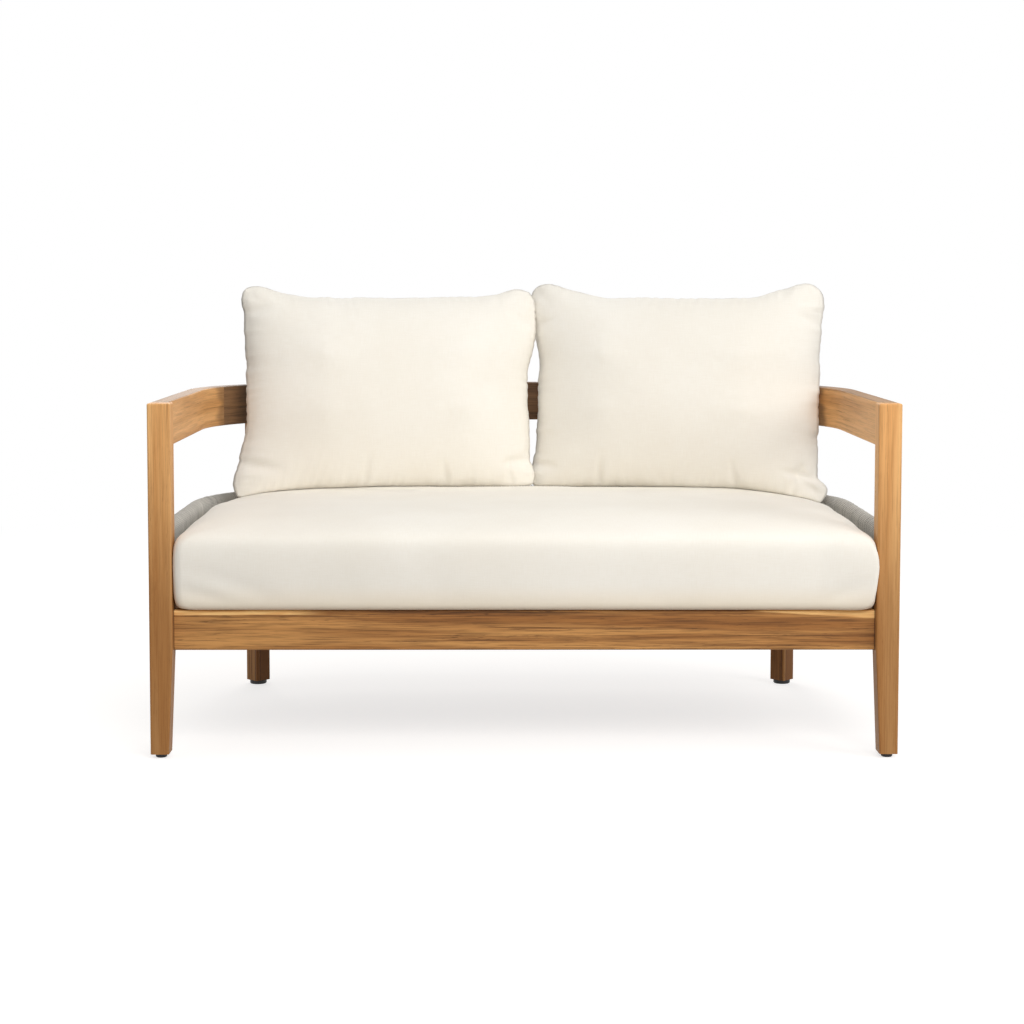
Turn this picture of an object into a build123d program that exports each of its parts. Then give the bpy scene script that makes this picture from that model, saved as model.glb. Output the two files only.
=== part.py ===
from build123d import *
import math
import os

# Two-seat patio sofa with a wooden frame that turns round the back in one line, rope-wound
# side and back panels, a slatted deck, one seat cushion and two loose back cushions.
# Millimetres, +Z up. The origin is the middle of the footprint, on the floor.

# Overall frame
frame_width = 1300.0
frame_depth = 790.0
arm_height = 619.0
corner_radius = 332.0
glide_height = 8.0
edge_round = 3.0
fit_gap = 0.3
overrun = 10.0

# Legs
post_width = 40.0
post_depth = 40.0
foot_width = 32.0
back_leg_side = 35.0

# Top rail
top_rail_thickness = 31.0
top_rail_height = 78.0
arm_joint_angle = 23.5

# Seat frame
seat_rail_height = 70.0
seat_rail_top = 258.5
side_rail_thickness = 31.0
front_rail_thickness = 25.0
front_rail_recess = 15.0

# Rope panels: a welded metal frame inside a close winding of round rope
rope_diameter = 6.0
panel_thickness = 30.0
panel_top = 402.5
panel_crown = 15.0
crown_build = 9.0
turns_per_rib = 2
groove_depth = 1.6
frame_bar_height = 16.0
frame_upright = 8.0

# Deck
slat_count = 11
slat_width = 62.0
slat_thickness = 15.0
slat_side_margin = 26.0
slat_end_gap = 3.0
bar_height = 40.0
bar_thickness = 25.0
cleat_height = 22.0
cleat_thickness = 24.0
cleat_end_gap = 20.0
rear_bar_setback = 250.0

# Loose tenons
top_tenon_width = 40.0
seat_tenon_width = 14.0
seat_tenon_spread = 22.0
tenon_thickness = 9.0
tenon_reach = 22.0
leg_tenon_reach = 13.0
post_tenon_reach = 18.0
tenon_clearance = 0.2

# Fasteners
bolt_diameter = 8.0
bolt_head_diameter = 14.0
bolt_head_height = 5.0
bolt_hole_clearance = 0.3
bolt_reach = 38.0
counterbore_depth = 10.0
barrel_diameter = 12.0
barrel_length = 18.0
screw_diameter = 4.0
screw_head_diameter = 8.0
screw_head_height = 2.6
screw_length = 32.0

# Glides
front_glide_diameter = 20.0
back_glide_diameter = 34.0
glide_round = 1.5

# Seat cushion
seat_side_gap = 2.0
seat_overhang = 6.0
seat_wall_height = 128.0
seat_crown = 32.0
seat_front_corner = 45.0
seat_side_draw = 4.0
seat_edge_inset = 12.0
seat_crown_inset = 190.0
zip_length = 420.0
zip_width = 12.0
zip_thickness = 1.0

# Back cushions
pillow_side_room = 36.0
pillow_height = 420.0
pillow_front_crown = 84.0
pillow_back_crown = 54.0
pillow_edge_draw = 20.0
pillow_side_draw = 9.0
pillow_foot_draw = 4.0
pillow_inset = 150.0
pillow_lean = 12.0
pillow_turn = 12.5
pillow_meeting = 22.0
pillow_meeting_gap = 4.0
pillow_setback = 176.0

# Places worked out from the sizes above, with y = 0 in the middle of the footprint
half_width = frame_width / 2
front_y = (seat_overhang - frame_depth) / 2
back_y = front_y + frame_depth
post_back_y = front_y + post_depth
corner_x = half_width - corner_radius
corner_y = back_y - corner_radius
far = frame_width + frame_depth
post_inner_x = half_width - post_width
rail_inner_radius = corner_radius - side_rail_thickness
leg_radius = corner_radius - top_rail_thickness / 2
leg_offset = leg_radius * math.cos(math.radians(45))
leg_x = corner_x + leg_offset
leg_y = corner_y + leg_offset
top_rail_foot = arm_height - top_rail_height
seat_rail_foot = seat_rail_top - seat_rail_height
seat_rail_middle = seat_rail_top - seat_rail_height / 2
panel_foot = seat_rail_top + fit_gap
deck_foot = seat_rail_top - slat_thickness
front_rail_back = front_rail_recess + front_rail_thickness
rear_bar_place = frame_depth - rear_bar_setback
middle_bar_place = (front_rail_back + rear_bar_place) / 2


def plan_outline(offset):
    """The frame's plan, moved inwards by an offset: straight sides and two round back corners."""
    x, y, r = half_width - offset, back_y - offset, corner_radius - offset
    diagonal = r * math.cos(math.radians(45))
    right_bend = (corner_x + diagonal, corner_y + diagonal)
    left_bend = (-corner_x - diagonal, corner_y + diagonal)
    edges = [
        Line((-x, front_y), (x, front_y)),
        Line((x, front_y), (x, corner_y)),
        ThreePointArc((x, corner_y), right_bend, (corner_x, y)),
        Line((corner_x, y), (-corner_x, y)),
        ThreePointArc((-corner_x, y), left_bend, (-x, corner_y)),
        Line((-x, corner_y), (-x, front_y)),
    ]
    return make_face(edges)


def side_mask(angle, start_y):
    """Plan area of the right side, from a start line back to an angle round the corner."""
    reach_x = corner_x + far * math.cos(math.radians(angle))
    reach_y = corner_y + far * math.sin(math.radians(angle))
    points = [(corner_x, start_y), (reach_x, start_y), (reach_x, reach_y), (corner_x, corner_y)]
    return make_face(Polyline(*points, close=True))


def corner_mask(angle):
    """Plan area of the right corner, from an angle round it to the straight back."""
    reach_x = corner_x + far * math.cos(math.radians(angle))
    reach_y = corner_y + far * math.sin(math.radians(angle))
    points = [(corner_x, corner_y), (reach_x, reach_y), (reach_x, corner_y + far),
              (corner_x, corner_y + far)]
    return make_face(Polyline(*points, close=True))


def back_mask(half_length):
    """Plan area of the straight back, to a half length each side of the middle."""
    middle = Location((0, corner_y + far / 2))
    return middle * Rectangle(2 * half_length, far)


def strip(outer, inner, mask, foot, height):
    """A length of the frame's line between two offsets, cut by a mask and raised."""
    plan = (plan_outline(outer) - plan_outline(inner)) & mask
    return Pos(0, 0, foot) * extrude(plan, height)


def long_edges(solid, least):
    """Horizontal edges longer than a least length: the ones that run along a rail."""
    level = [e for e in solid.edges() if abs(e.position_at(0).Z - e.position_at(1).Z) < fit_gap]
    return [e for e in level if e.length > least]


def rounded_rail(solid, thickness, round_size):
    return fillet(long_edges(solid, thickness + overrun), min(round_size, thickness / 3))


def mirrored(solid):
    return mirror(solid, about=Plane.YZ)


def leg_prism(side, foot, height):
    """The square back leg, set at 45 degrees under the corner of the top rail."""
    place = Location((leg_x, leg_y, foot), (0, 0, 45))
    return place * Box(side, side, height, align=(Align.CENTER, Align.CENTER, Align.MIN))


# Legs


def front_leg():
    """Square post with an upright outer face; its inner face tapers in below the seat rail."""
    outline = [
        (half_width, glide_height),
        (half_width, arm_height),
        (post_inner_x, arm_height),
        (post_inner_x, seat_rail_foot),
        (half_width - foot_width, glide_height),
    ]
    profile = Plane.XZ * make_face(Polyline(*outline, close=True))
    post = Pos(0, post_back_y, 0) * extrude(profile, post_depth)
    upright = [e for e in post.edges() if e.bounding_box().size.Z > post_width]
    crown = [e for e in post.edges() if e.center().Z > arm_height - fit_gap]
    return fillet(upright + crown, edge_round)


def back_leg():
    leg = leg_prism(back_leg_side, glide_height, top_rail_foot - glide_height)
    upright = [e for e in leg.edges() if e.bounding_box().size.Z > back_leg_side]
    return fillet(upright, edge_round)


# Top rail: two arms, two bent corners and a straight back, glued end to end


def arm_rail():
    mask = side_mask(arm_joint_angle, post_back_y)
    rail = strip(0, top_rail_thickness, mask, top_rail_foot, top_rail_height)
    return rounded_rail(rail, top_rail_thickness, edge_round)


def top_corner():
    mask = corner_mask(arm_joint_angle)
    rail = strip(0, top_rail_thickness, mask, top_rail_foot, top_rail_height)
    return rounded_rail(rail, top_rail_thickness, edge_round)


def back_top_rail():
    rail = strip(0, top_rail_thickness, back_mask(corner_x), top_rail_foot, top_rail_height)
    return rounded_rail(rail, top_rail_thickness, edge_round)


# Seat frame


def front_seat_rail():
    """Rail between the posts, set back from their front faces."""
    y = front_y + front_rail_recess
    size = (2 * post_inner_x, front_rail_thickness, seat_rail_height)
    rail = Pos(0, y, seat_rail_foot) * Box(*size, align=(Align.CENTER, Align.MIN, Align.MIN))
    front = [e for e in long_edges(rail, post_inner_x) if e.center().Y < y + fit_gap]
    return fillet(front, edge_round)


def side_seat_rail(leg):
    mask = side_mask(45, post_back_y)
    rail = strip(0, side_rail_thickness, mask, seat_rail_foot, seat_rail_height)
    return rounded_rail(rail - leg, side_rail_thickness, edge_round)


def seat_corner(leg):
    rail = strip(0, side_rail_thickness, corner_mask(45), seat_rail_foot, seat_rail_height)
    return rounded_rail(rail - leg, side_rail_thickness, edge_round)


def back_seat_rail():
    rail = strip(0, side_rail_thickness, back_mask(corner_x), seat_rail_foot, seat_rail_height)
    return rounded_rail(rail, side_rail_thickness, edge_round)


# Deck: two crossbars and two cleats carry slats that run from front to back


def crossbar(place):
    """A bar across the seat frame whose ends follow the rails' inner faces."""
    y = front_y + place
    top = Pos(0, y, deck_foot)
    bar = top * Box(frame_width, bar_thickness, bar_height,
                    align=(Align.CENTER, Align.MIN, Align.MAX))
    room = Pos(0, 0, seat_rail_foot) * extrude(plan_outline(side_rail_thickness), seat_rail_height)
    return bar & room


def front_cleat():
    length = 2 * (post_inner_x - cleat_end_gap)
    place = Pos(0, front_y + front_rail_back, deck_foot)
    return place * Box(length, cleat_thickness, cleat_height,
                       align=(Align.CENTER, Align.MIN, Align.MAX))


def rear_cleat():
    place = Pos(0, back_y - side_rail_thickness, deck_foot)
    return place * Box(2 * (corner_x - cleat_end_gap), cleat_thickness, cleat_height,
                       align=(Align.CENTER, Align.MAX, Align.MAX))


def slat_places():
    """The middle line of each slat, evenly spaced between the side rails."""
    half_run = half_width - side_rail_thickness - slat_side_margin - slat_width / 2
    pitch = 2 * half_run / (slat_count - 1)
    return [-half_run + pitch * i for i in range(slat_count)]


def slat_end_y(x):
    """Where a slat has to stop at the back, by the corner's inner face at its outer edge."""
    edge_x = abs(x) + slat_width / 2
    if edge_x <= corner_x:
        return back_y - side_rail_thickness - slat_end_gap
    across = edge_x - corner_x
    return corner_y + math.sqrt(rail_inner_radius ** 2 - across ** 2) - slat_end_gap


def slat(x, holes):
    start_y = front_y + front_rail_back + slat_end_gap
    length = slat_end_y(x) - start_y
    board = Pos(x, start_y, deck_foot) * Box(slat_width, length, slat_thickness,
                                            align=(Align.CENTER, Align.MIN, Align.MIN))
    for hole in holes:
        board -= hole
    return board


# Fasteners


def screw_solid(clearance):
    """A countersunk screw with its head flush at the deck, pointing down, in eight flats."""
    sides = 8
    head = RegularPolygon(screw_head_diameter / 2 + clearance, sides)
    shank = RegularPolygon(screw_diameter / 2 + clearance, sides)
    cone = loft([head, Pos(0, 0, -screw_head_height) * shank], ruled=True)
    return cone + Pos(0, 0, -screw_length) * extrude(shank, screw_length - screw_head_height)


def slat_screw_places(x):
    """One screw into the front cleat and one into each crossbar."""
    cleat_y = front_y + front_rail_back + cleat_thickness / 2
    rear_y = front_y + rear_bar_place + bar_thickness / 2
    ends = [y for y in (cleat_y, rear_y) if y + screw_head_diameter < slat_end_y(x)]
    return [Pos(x, y, seat_rail_top) for y in ends]


def bolt_place():
    """The seat of the bolt that draws the front rail against the right-hand post."""
    y = front_y + front_rail_recess + front_rail_thickness / 2
    return Location((half_width - counterbore_depth, y, seat_rail_middle))


def bolt_solid(clearance):
    r = bolt_diameter / 2 + clearance
    length = post_width - counterbore_depth + bolt_reach
    return Rotation(0, -90, 0) * Cylinder(r, length, align=(Align.CENTER, Align.CENTER, Align.MIN))


def bolt_head(clearance):
    r = bolt_head_diameter / 2 + clearance
    return Rotation(0, 90, 0) * Cylinder(r, bolt_head_height,
                                         align=(Align.CENTER, Align.CENTER, Align.MIN))


def counterbore():
    r = bolt_head_diameter / 2 + bolt_hole_clearance
    return Rotation(0, 90, 0) * Cylinder(r, counterbore_depth + overrun,
                                         align=(Align.CENTER, Align.CENTER, Align.MIN))


def bolt_plug():
    r = bolt_head_diameter / 2
    plug = Cylinder(r, counterbore_depth - bolt_head_height - fit_gap,
                    align=(Align.CENTER, Align.CENTER, Align.MIN))
    return Pos(bolt_head_height + fit_gap, 0, 0) * Rotation(0, 90, 0) * plug


def barrel_offset():
    return Pos(-(post_width - counterbore_depth + bolt_reach - barrel_diameter / 2), 0, 0)


def barrel_nut(clearance):
    r = barrel_diameter / 2 + clearance
    nut = Rotation(90, 0, 0) * Cylinder(r, barrel_length + 2 * clearance)
    return nut - (Pos(barrel_diameter, 0, 0) * bolt_solid(bolt_hole_clearance))


def barrel_bore():
    """The nut's hole, open at the rail's back face."""
    r = barrel_diameter / 2 + bolt_hole_clearance
    bore = Rotation(-90, 0, 0) * Cylinder(r, barrel_length / 2 + front_rail_thickness,
                                          align=(Align.CENTER, Align.CENTER, Align.MIN))
    return Pos(0, -barrel_length / 2 - bolt_hole_clearance, 0) * bore


def tenon(place, width, reach_a, reach_b, clearance):
    """A loose tenon along a joint's direction, reaching a length into each of two pieces."""
    grown = 2 * clearance
    size = (reach_a + reach_b + grown, tenon_thickness + grown, width + grown)
    return place * Pos((reach_b - reach_a) / 2, 0, 0) * Box(*size)


def joint_table():
    """Right-hand joints: two pieces, place, heading, tenon heights and width, reach into each."""
    leg_half = back_leg_side / 2
    top_z = arm_height - top_rail_height / 2
    top_line = corner_radius - top_rail_thickness / 2
    seat_line = corner_radius - side_rail_thickness / 2
    arm_a = math.radians(arm_joint_angle)
    along = math.cos(math.radians(45))
    seat_z = seat_rail_middle
    front_end = (post_inner_x, front_y + front_rail_recess + front_rail_thickness / 2, seat_z)
    arm_start = (corner_x + top_line, post_back_y, top_z)
    arm_end = (corner_x + top_line * math.cos(arm_a), corner_y + top_line * math.sin(arm_a), top_z)
    back_start = (corner_x, corner_y + top_line, top_z)
    side_start = (corner_x + seat_line, post_back_y, seat_z)
    before_leg = (leg_x + leg_half * along, leg_y - leg_half * along, seat_z)
    after_leg = (leg_x - leg_half * along, leg_y + leg_half * along, seat_z)
    back_end = (corner_x, corner_y + seat_line, seat_z)
    deep, post, leg = tenon_reach, post_tenon_reach, leg_tenon_reach
    top = ([0], top_tenon_width)
    seat = ([-seat_tenon_spread, seat_tenon_spread], seat_tenon_width)
    return [
        ("front_leg", "arm_rail", arm_start, 90, top, (deep, deep)),
        ("arm_rail", "top_corner", arm_end, 90 + arm_joint_angle, top, (deep, deep)),
        ("top_corner", "back_top_rail", back_start, 180, top, (deep, deep)),
        ("front_seat_rail", "front_leg", front_end, 0, seat, (deep, post)),
        ("front_leg", "side_seat_rail", side_start, 90, seat, (deep, deep)),
        ("side_seat_rail", "back_leg", before_leg, 135, seat, (deep, leg)),
        ("back_leg", "seat_corner", after_leg, 135, seat, (leg, deep)),
        ("seat_corner", "back_seat_rail", back_end, 180, seat, (deep, deep)),
    ]


def leg_top_tenon(clearance):
    """The upright tenon that holds the top rail's corner down on the back leg."""
    grown = 2 * clearance
    size = (tenon_thickness + grown, tenon_thickness + grown, 2 * tenon_reach + grown)
    return Location((leg_x, leg_y, top_rail_foot), (0, 0, 45)) * Box(*size)


# Glides


def glide(x, y, diameter):
    disc = Pos(x, y, 0) * Cylinder(diameter / 2, glide_height,
                                   align=(Align.CENTER, Align.CENTER, Align.MIN))
    rim = [e for e in disc.edges() if e.center().Z < fit_gap]
    return chamfer(rim, glide_round)


# Rope panels


def panel_section(draw):
    """The winding's section, (across, up) from the middle of its foot, drawn in by a depth."""
    half = panel_thickness / 2 - draw
    foot, top = draw, panel_top - panel_foot - draw
    shoulder = top - panel_crown
    points = [(-half, foot), (half, foot), (half, shoulder)]
    for angle in (45, 90, 135):
        a = math.radians(angle)
        points.append((half * math.cos(a), shoulder + panel_crown * math.sin(a)))
    points.append((-half, shoulder))
    return points


def station(run):
    """A point on the panels' middle line, by its distance from the right post, and its heading.

    The heading is the angle of the outward direction: 0 beside the seat, 90 behind it.
    """
    line_radius = corner_radius - panel_thickness / 2
    side, bend = corner_y - post_back_y, line_radius * math.pi / 2
    if run <= side:
        return corner_x + line_radius, post_back_y + run, 0.0
    if run <= side + bend:
        centre_x, angle = corner_x, (run - side) / line_radius
    elif run <= side + bend + 2 * corner_x:
        return corner_x - (run - side - bend), corner_y + line_radius, math.pi / 2
    else:
        centre_x, angle = -corner_x, (run - side - 2 * corner_x) / line_radius
    x = centre_x + line_radius * math.cos(angle)
    return x, corner_y + line_radius * math.sin(angle), angle


def section_wire(run, draw):
    x, y, angle = station(run)
    out_x, out_y = math.cos(angle), math.sin(angle)
    points = [(x + u * out_x, y + u * out_y, panel_foot + v) for u, v in panel_section(draw)]
    return Wire.make_polygon([Vector(*p) for p in points], close=True)


def ribbed_sleeve(start, end):
    """The winding from one run to another: a rib for every few turns, a groove at each side."""
    ribs = round((end - start) / (turns_per_rib * rope_diameter))
    step = (end - start) / (2 * ribs)
    wires = []
    for i in range(2 * ribs + 1):
        wires.append(section_wire(start + step * i, 0 if i % 2 else groove_depth))
    return Solid.make_loft(wires, ruled=True)


def frame_strip(mask, foot, top, grow):
    """The metal frame's bar along the panel, a rope's thickness inside the winding."""
    inset = rope_diameter + fit_gap - grow
    return strip(inset, panel_thickness - inset, mask, foot, top - foot)


frame_foot = panel_foot + rope_diameter + fit_gap
frame_top = panel_top - crown_build - fit_gap
panel_line = corner_radius - panel_thickness / 2
side_run = corner_y - post_back_y
leg_angle = math.degrees((back_leg_side / 2 + fit_gap) / panel_line)
upright_angle = math.degrees(frame_upright / panel_line)
side_end_angle = 45 - leg_angle - upright_angle
back_start_angle = 45 + leg_angle + upright_angle


def back_half_mask(angle):
    """Plan area behind the seat, from an angle round each corner to the same on the other side."""
    right = corner_mask(angle)
    middle = Pos(0, corner_y + far / 2) * Rectangle(2 * corner_x, far)
    return right + middle + mirror(right, about=Plane.YZ)


def side_rope_frame(leg):
    whole = frame_strip(side_mask(45, post_back_y), frame_foot, frame_top, 0)
    window_mask = side_mask(side_end_angle, post_back_y + frame_upright)
    window = frame_strip(window_mask, frame_foot + frame_bar_height, frame_top - frame_bar_height,
                         rope_diameter)
    return whole - leg - window


def back_rope_frame(legs):
    whole = frame_strip(back_half_mask(45), frame_foot, frame_top, 0)
    window = frame_strip(back_half_mask(back_start_angle), frame_foot + frame_bar_height,
                         frame_top - frame_bar_height, rope_diameter)
    frame = whole - window
    for leg in legs:
        frame -= leg
    return frame


def winding_bore(mask):
    foot, top = panel_foot + rope_diameter, panel_top - crown_build
    return frame_strip(mask, foot, top, fit_gap)


def side_rope_winding():
    end = side_run + panel_line * math.radians(side_end_angle)
    sleeve = ribbed_sleeve(frame_upright, end)
    return sleeve - winding_bore(side_mask(60, front_y))


def back_rope_winding():
    start = side_run + panel_line * math.radians(back_start_angle)
    whole_run = 2 * side_run + panel_line * math.pi + 2 * corner_x
    sleeve = ribbed_sleeve(start, whole_run - start)
    return sleeve - winding_bore(back_half_mask(0))


# Seat cushion

seat_half = post_inner_x - seat_side_gap
seat_front = front_y - seat_overhang
seat_back_radius = seat_half - corner_x
seat_back = corner_y + seat_back_radius
seat_foot = seat_rail_top + fit_gap
seat_wall_shares = [(0, 1), (0.03, 0.55), (0.09, 0.2), (0.2, 0), (0.78, 0), (0.9, 0.2),
                    (0.97, 0.55)]
seat_crown_shares = [(0, 0), (0.14, 0.05), (0.35, 0.16), (0.58, 0.34), (0.8, 0.56), (0.94, 0.78),
                     (1, 1)]


def seat_profile():
    """The cushion's section as (height above the deck, inset from the widest outline)."""
    wall = [(seat_wall_height * up, seat_edge_inset * into) for up, into in seat_wall_shares]
    crown = []
    for up, into in seat_crown_shares:
        inset = seat_edge_inset + (seat_crown_inset - seat_edge_inset) * into
        crown.append((seat_wall_height + seat_crown * up, inset))
    return wall + crown


def seat_outline(inset, z):
    """Plan of the cushion at one height: sides drawn in, tight front corners, wide back ones."""
    x, front, back = seat_half - inset, seat_front + inset, seat_back - inset
    rf, rb = seat_front_corner, seat_back_radius - inset
    diagonal = math.cos(math.radians(45))
    side_middle = (front + rf + corner_y) / 2
    draw = seat_side_draw
    fx, fy = x - rf + rf * diagonal, front + rf - rf * diagonal
    bx, by = corner_x + rb * diagonal, corner_y + rb * diagonal
    edges = [
        Line((-x + rf, front, z), (x - rf, front, z)),
        ThreePointArc((x - rf, front, z), (fx, fy, z), (x, front + rf, z)),
        ThreePointArc((x, front + rf, z), (x - draw, side_middle, z), (x, corner_y, z)),
        ThreePointArc((x, corner_y, z), (bx, by, z), (corner_x, back, z)),
        Line((corner_x, back, z), (-corner_x, back, z)),
        ThreePointArc((-corner_x, back, z), (-bx, by, z), (-x, corner_y, z)),
        ThreePointArc((-x, corner_y, z), (draw - x, side_middle, z), (-x, front + rf, z)),
        ThreePointArc((-x, front + rf, z), (-fx, fy, z), (-x + rf, front, z)),
    ]
    return Wire(edges)


def seat_cushion():
    wires = [seat_outline(inset, seat_foot + up) for up, inset in seat_profile()]
    return Solid.make_loft(wires, ruled=True)


def seat_height_at(x, y):
    """Height of the cushion's crown over a point of the plan, well behind its front edge."""
    inset = min(seat_half - abs(x), seat_back - y)
    if abs(x) > corner_x and y > corner_y:
        inset = seat_back_radius - math.hypot(abs(x) - corner_x, y - corner_y)
    rows = [row for row in seat_profile() if row[0] >= seat_wall_height]
    for (low, near), (high, deep) in zip(rows, rows[1:]):
        if inset <= deep:
            share = max(0, inset - near) / (deep - near)
            return seat_foot + low + (high - low) * share
    return seat_foot + rows[-1][0]


def seat_zip():
    z = seat_foot + seat_wall_height / 2
    tape = Box(zip_length, zip_thickness, zip_width, align=(Align.CENTER, Align.MIN, Align.CENTER))
    return Pos(0, seat_back + fit_gap, z) * tape


# Back cushions

pillow_width = seat_half - pillow_side_room
pillow_crown_shares = [(0, 0), (0.32, 0.05), (0.6, 0.17), (0.82, 0.38), (0.95, 0.67), (1, 1)]


def pillow_outline(inset, out):
    """The pillow's face at a depth in front of its seam: four sides drawn in between corners."""
    w, h = pillow_width / 2 - inset, pillow_height / 2 - inset
    fade = 1 - inset / (2 * pillow_inset)
    side, top, foot = pillow_side_draw * fade, pillow_edge_draw * fade, pillow_foot_draw * fade
    edges = [
        ThreePointArc((-w, -out, -h), (0, -out, foot - h), (w, -out, -h)),
        ThreePointArc((w, -out, -h), (w - side, -out, 0), (w, -out, h)),
        ThreePointArc((w, -out, h), (0, -out, h - top), (-w, -out, h)),
        ThreePointArc((-w, -out, h), (side - w, -out, 0), (-w, -out, -h)),
    ]
    return Wire(edges)


def pillow_half(depth):
    wires = [pillow_outline(pillow_inset * into, depth * out) for out, into in pillow_crown_shares]
    return Solid.make_loft(wires, ruled=False)


def pillow_place(centre_x, turn):
    """Where a pillow stands: turned to the corner, leaning back, its foot on the seat's crown."""
    lean, heading = math.radians(pillow_lean), math.radians(turn)
    rise, back = pillow_height / 2 * math.cos(lean), pillow_height / 2 * math.sin(lean)
    foot_y = back_y - top_rail_thickness - pillow_setback
    steps = 24
    rest = 0
    for i in range(steps + 1):
        along = pillow_width * (i / steps - 1 / 2)
        lifted = pillow_foot_draw * (1 - (2 * i / steps - 1) ** 2)
        x = centre_x + along * math.cos(heading)
        y = foot_y + along * math.sin(heading)
        rest = max(rest, seat_height_at(x, y) - lifted)
    x = centre_x - back * math.sin(heading)
    y = foot_y + back * math.cos(heading)
    return Pos(x, y, rest + fit_gap + rise) * Rotation(0, 0, turn) * Rotation(-pillow_lean, 0, 0)


def back_cushion(side):
    """One back cushion; side is 1 for the right and -1 for the left."""
    half = pillow_width / 2 * math.cos(math.radians(pillow_turn))
    centre_x = pillow_meeting + side * (pillow_meeting_gap / 2 + half)
    front, back = pillow_half(pillow_front_crown), pillow_half(pillow_back_crown)
    pillow = front + mirror(back, about=Plane.XZ)
    return pillow_place(centre_x, -side * pillow_turn) * pillow


# The pieces, by name

leg_room = leg_prism(back_leg_side + 2 * fit_gap, 0, arm_height)
right = {
    "front_leg": front_leg(),
    "back_leg": back_leg(),
    "arm_rail": arm_rail(),
    "top_corner": top_corner(),
    "side_seat_rail": side_seat_rail(leg_room),
    "seat_corner": seat_corner(leg_room),
}
middle = {
    "front_seat_rail": front_seat_rail(),
    "back_top_rail": back_top_rail(),
    "back_seat_rail": back_seat_rail(),
}


def cut(name, tool):
    """Cut a piece; a middle piece is cut on both sides."""
    if name in right:
        right[name] = right[name] - tool
    else:
        middle[name] = middle[name] - tool - mirrored(tool)


tenons = [leg_top_tenon(0)]
for name in ("back_leg", "top_corner"):
    cut(name, leg_top_tenon(tenon_clearance))
for first, second, spot, heading, (heights, width), (reach_a, reach_b) in joint_table():
    for height in heights:
        place = Location(spot, (0, 0, heading)) * Pos(0, 0, height)
        tenons.append(tenon(place, width, reach_a, reach_b, 0))
        mortise = tenon(place, width, reach_a, reach_b, tenon_clearance)
        cut(first, mortise)
        cut(second, mortise)

seat_of_bolt = bolt_place()
bolt = seat_of_bolt * (bolt_solid(0) + bolt_head(0))
nut = seat_of_bolt * barrel_offset() * barrel_nut(0)
plug = seat_of_bolt * bolt_plug()
bolt_bore = seat_of_bolt * bolt_solid(bolt_hole_clearance)
cut("front_leg", bolt_bore)
cut("front_leg", seat_of_bolt * counterbore())
cut("front_seat_rail", bolt_bore)
cut("front_seat_rail", seat_of_bolt * barrel_offset() * barrel_bore())

bars = [front_cleat(), crossbar(middle_bar_place), crossbar(rear_bar_place)]
screw, screw_hole = screw_solid(0), screw_solid(bolt_hole_clearance)
screws = []
slats = []
for x in slat_places():
    spots = slat_screw_places(x)
    slats.append(slat(x, [spot * screw_hole for spot in spots]))
    for spot in spots:
        screws.append(spot * screw)
        bars = [bar - spot * screw_hole for bar in bars]

foot_x = half_width - foot_width / 2
parts = {
    "front_seat_rail": middle["front_seat_rail"],
    "seat_front_cleat": bars[0],
    "seat_middle_crossbar": bars[1],
    "seat_rear_crossbar": bars[2],
    "seat_rear_cleat": rear_cleat(),
    "back_top_rail": middle["back_top_rail"],
    "back_seat_rail": middle["back_seat_rail"],
    "rope_frame_back": back_rope_frame([leg_room, mirrored(leg_room)]),
    "rope_winding_back": back_rope_winding(),
    "loose_tenons": Compound(tenons + [mirrored(t) for t in tenons]),
    "post_bolts": Compound([bolt, mirrored(bolt)]),
    "barrel_nuts": Compound([nut, mirrored(nut)]),
    "bolt_plugs": Compound([plug, mirrored(plug)]),
    "slat_screws": Compound(screws),
    "seat_cushion": seat_cushion(),
    "seat_cushion_zip": seat_zip(),
    "back_cushion_left": back_cushion(-1),
    "back_cushion_right": back_cushion(1),
}
sided = dict(right)
sided["rope_frame"] = side_rope_frame(leg_room)
sided["rope_winding"] = side_rope_winding()
sided["front_glide"] = glide(foot_x, front_y + post_depth / 2, front_glide_diameter)
sided["back_glide"] = glide(leg_x, leg_y, back_glide_diameter)
for name, piece in sided.items():
    parts[name + "_right"] = piece
    parts[name + "_left"] = mirrored(piece)
for number, board in enumerate(slats, start=1):
    parts[f"slat_{number:02d}"] = board

os.makedirs("parts", exist_ok=True)
for name, shape in parts.items():
    export_step(shape, f"parts/{name}.step")
print(len(parts), "nodes written")
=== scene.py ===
# %% [markdown]
# # A two-seat patio sofa in wood, rope and cream cloth
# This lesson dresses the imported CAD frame: oiled hardwood on the rails and legs, turns of rope on
# the panels, stuffed cushions and a white studio. All is in metres, +Z up, the front facing -Y.

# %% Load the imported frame
import math
import random
from functools import partialmethod

import bmesh
import bpy
import numpy as np
from mathutils import Matrix, Vector, noise
from mathutils.bvhtree import BVHTree


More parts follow.
